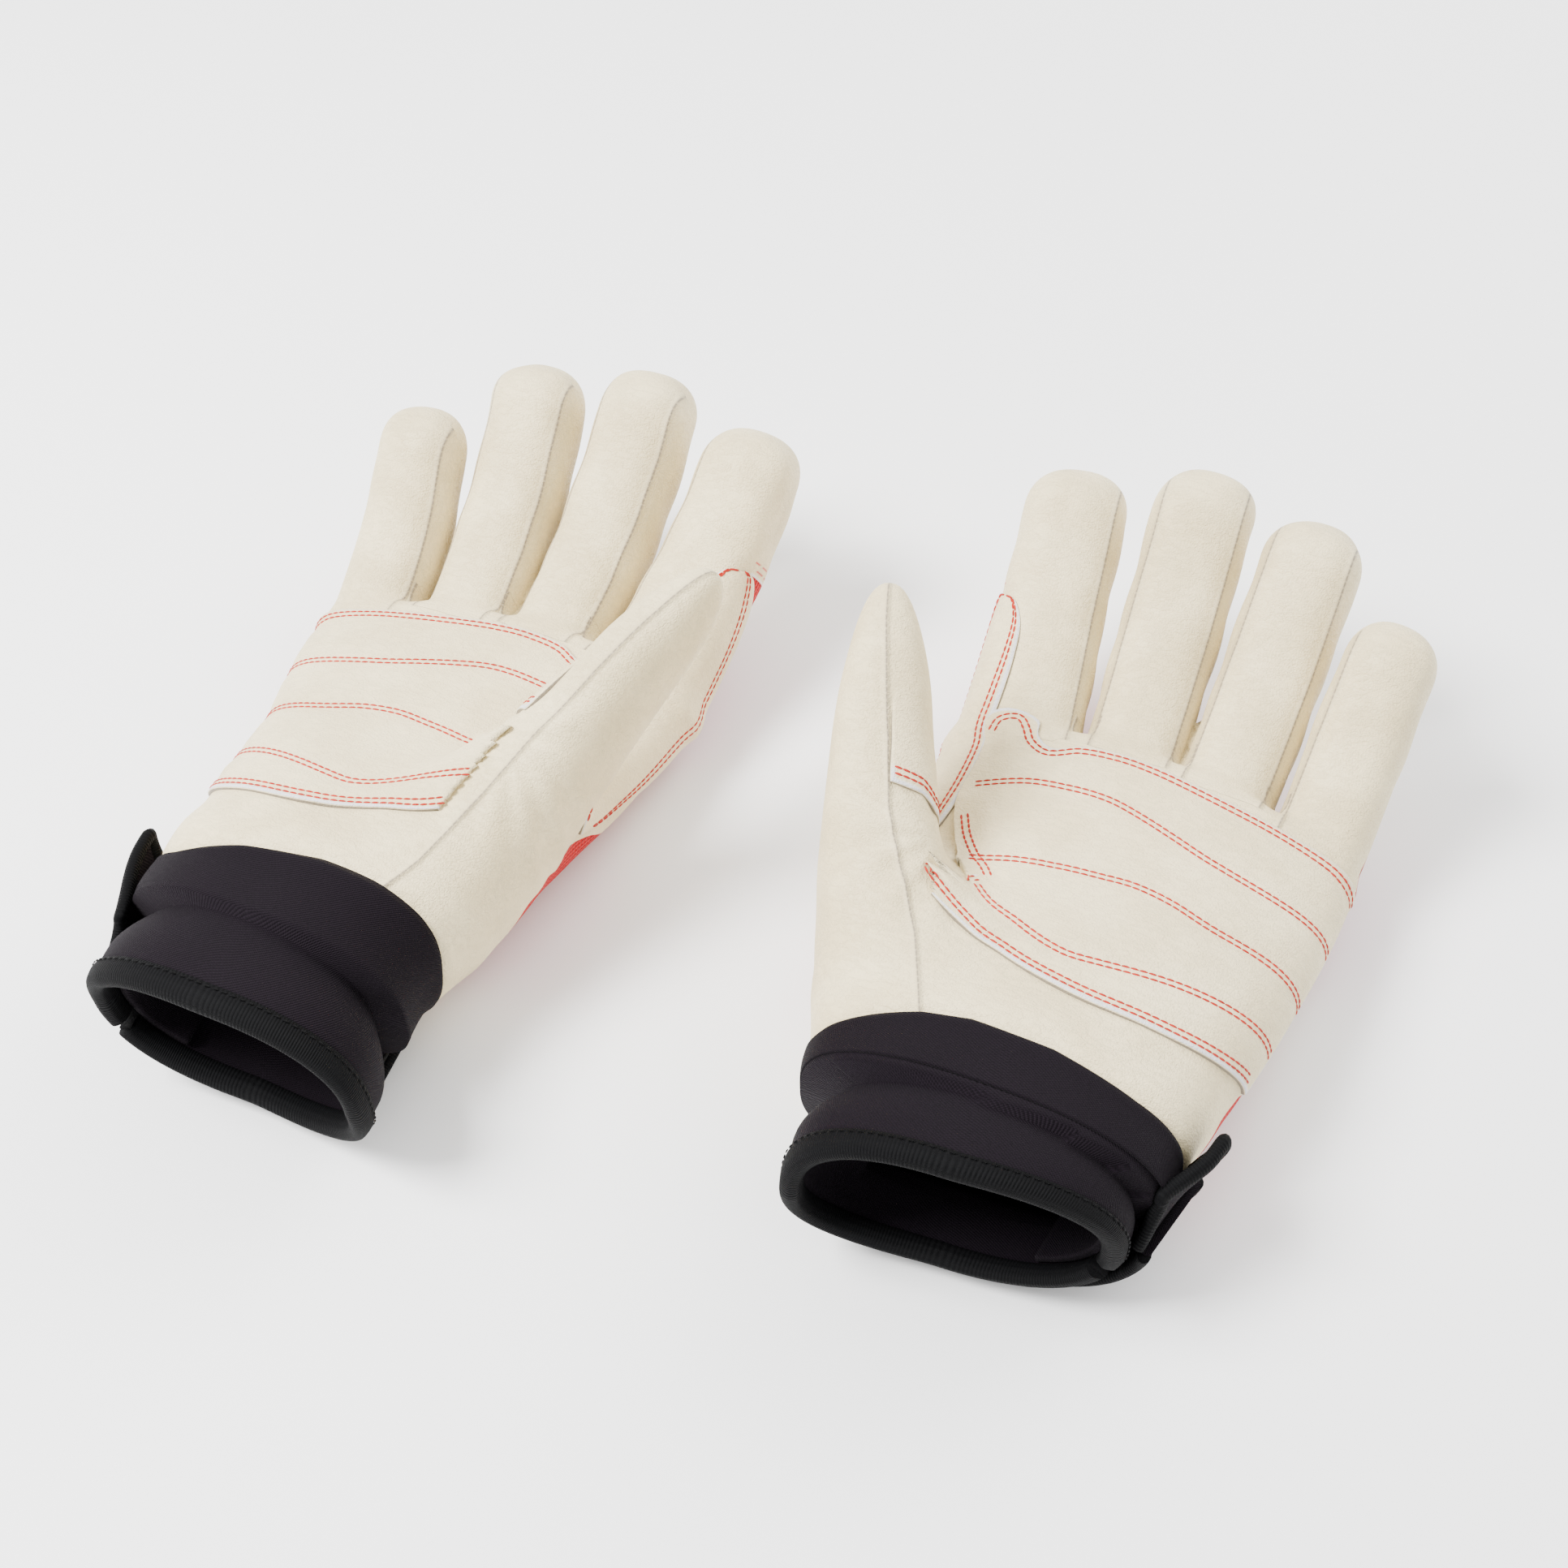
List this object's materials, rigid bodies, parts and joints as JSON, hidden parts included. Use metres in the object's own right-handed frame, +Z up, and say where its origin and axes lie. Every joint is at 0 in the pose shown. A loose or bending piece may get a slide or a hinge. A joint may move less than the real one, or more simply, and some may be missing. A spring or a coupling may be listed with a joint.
{
  "type": "pair of sailing gloves",
  "caption": "Pair of long-fingered sailing gloves: leather palms with sewn reinforcement patches, knitted backs and wide neoprene cuffs closed by a strap.",
  "frame": {"origin": "centre of the base of the pair's bounding box, on the surface that the gloves lie on", "axes": "+X from the right-hand glove to the left-hand glove, +Y from the cuffs to the fingertips, +Z up, out of the palms"},
  "size_m": [0.3026, 0.2567, 0.0926],
  "materials": {
    "leather": "fine grain, satin",
    "patch_leather": "fine grain, satin, sewn with red thread",
    "knit": "ribbed elastic knit",
    "neoprene": "foam rubber faced with fine jersey",
    "binding": "folded elastic tape, stitched",
    "tape": "hook and loop pile"
  },
  "bodies": {
    "right_glove": {"right_palm_leather": "leather", "right_back_knit": "knit", "right_palm_patch": "patch_leather", "right_index_patch_lower": "patch_leather", "right_thumb_gusset": "leather", "right_cuff_band": "neoprene", "right_cuff_binding": "binding", "right_cuff_tongue": "neoprene", "right_loop_patch": "tape"},
    "right_strap": {"right_strap": "neoprene", "right_strap_binding": "binding", "right_hook_patch": "tape"},
    "right_thumb": {"right_thumb_outer": "leather", "right_thumb_inner": "leather", "right_thumb_patch": "patch_leather"},
    "right_index": {"right_index_front": "leather", "right_index_back": "knit", "right_index_tip": "leather", "right_index_patch_upper": "patch_leather"},
    "right_middle": {"right_middle_front": "leather", "right_middle_back": "knit", "right_middle_tip": "leather"},
    "right_ring": {"right_ring_front": "leather", "right_ring_back": "knit", "right_ring_tip": "leather"},
    "right_little": {"right_little_front": "leather", "right_little_back": "knit", "right_little_tip": "leather"},
    "left_glove": {"left_palm_leather": "leather", "left_back_knit": "knit", "left_palm_patch": "patch_leather", "left_index_patch_lower": "patch_leather", "left_thumb_gusset": "leather", "left_cuff_band": "neoprene", "left_cuff_binding": "binding", "left_cuff_tongue": "neoprene", "left_loop_patch": "tape"},
    "left_strap": {"left_strap": "neoprene", "left_strap_binding": "binding", "left_hook_patch": "tape"},
    "left_thumb": {"left_thumb_outer": "leather", "left_thumb_inner": "leather", "left_thumb_patch": "patch_leather"},
    "left_index": {"left_index_front": "leather", "left_index_back": "knit", "left_index_tip": "leather", "left_index_patch_upper": "patch_leather"},
    "left_middle": {"left_middle_front": "leather", "left_middle_back": "knit", "left_middle_tip": "leather"},
    "left_ring": {"left_ring_front": "leather", "left_ring_back": "knit", "left_ring_tip": "leather"},
    "left_little": {"left_little_front": "leather", "left_little_back": "knit", "left_little_tip": "leather"}
  },
  "joints": [
    {"name": "right_index_knuckle", "type": "hinge", "parent": "right_glove", "child": "right_index", "pos_m": [-0.05374, 0.02856, 0.03039], "axis": [0.9936, -0.1132, 0], "range_deg": [-10, 60], "stiffness_Nm_per_rad": 0.1},
    {"name": "right_middle_knuckle", "type": "hinge", "parent": "right_glove", "child": "right_middle", "pos_m": [-0.08297, 0.03096, 0.03072], "axis": [0.9993, -0.0384, 0], "range_deg": [-10, 60], "stiffness_Nm_per_rad": 0.1},
    {"name": "right_ring_knuckle", "type": "hinge", "parent": "right_glove", "child": "right_ring", "pos_m": [-0.10927, 0.02825, 0.03064], "axis": [0.9988, 0.0489, 0], "range_deg": [-10, 60], "stiffness_Nm_per_rad": 0.1},
    {"name": "right_little_knuckle", "type": "hinge", "parent": "right_glove", "child": "right_little", "pos_m": [-0.13562, 0.01974, 0.02801], "axis": [0.9968, 0.0802, 0], "range_deg": [-10, 60], "stiffness_Nm_per_rad": 0.1},
    {"name": "right_thumb_knuckle", "type": "hinge", "parent": "right_glove", "child": "right_thumb", "pos_m": [-0.05963, -0.02208, 0.04996], "axis": [-0.3044, -0.4577, 0.8353], "range_deg": [-5, 14], "stiffness_Nm_per_rad": 0.15},
    {"name": "right_strap_hinge", "type": "hinge", "parent": "right_glove", "child": "right_strap", "pos_m": [-0.1297, -0.1006, 0.02608], "axis": [0, 1, 0], "range_deg": [0, 90]},
    {"name": "left_index_knuckle", "type": "hinge", "parent": "left_glove", "child": "left_index", "pos_m": [0.05374, 0.04856, 0.03039], "axis": [0.9936, 0.1132, 0], "range_deg": [-10, 60], "stiffness_Nm_per_rad": 0.1},
    {"name": "left_middle_knuckle", "type": "hinge", "parent": "left_glove", "child": "left_middle", "pos_m": [0.08297, 0.05096, 0.03072], "axis": [0.9993, 0.0384, 0], "range_deg": [-10, 60], "stiffness_Nm_per_rad": 0.1},
    {"name": "left_ring_knuckle", "type": "hinge", "parent": "left_glove", "child": "left_ring", "pos_m": [0.10927, 0.04825, 0.03064], "axis": [0.9988, -0.0489, 0], "range_deg": [-10, 60], "stiffness_Nm_per_rad": 0.1},
    {"name": "left_little_knuckle", "type": "hinge", "parent": "left_glove", "child": "left_little", "pos_m": [0.13562, 0.03974, 0.02801], "axis": [0.9968, -0.0802, 0], "range_deg": [-10, 60], "stiffness_Nm_per_rad": 0.1},
    {"name": "left_thumb_knuckle", "type": "hinge", "parent": "left_glove", "child": "left_thumb", "pos_m": [0.05591, -0.00612, 0.04939], "axis": [-0.2197, 0.504, -0.8353], "range_deg": [-5, 14], "stiffness_Nm_per_rad": 0.15},
    {"name": "left_strap_hinge", "type": "hinge", "parent": "left_glove", "child": "left_strap", "pos_m": [0.13102, -0.0806, 0.02608], "axis": [0, -1, 0], "range_deg": [0, 90]},
    {"name": "left_glove_lift", "type": "slide", "parent": "right_glove", "child": "left_glove", "axis": [0, 0, 1], "range_m": [0, 0.15]}
  ]
}
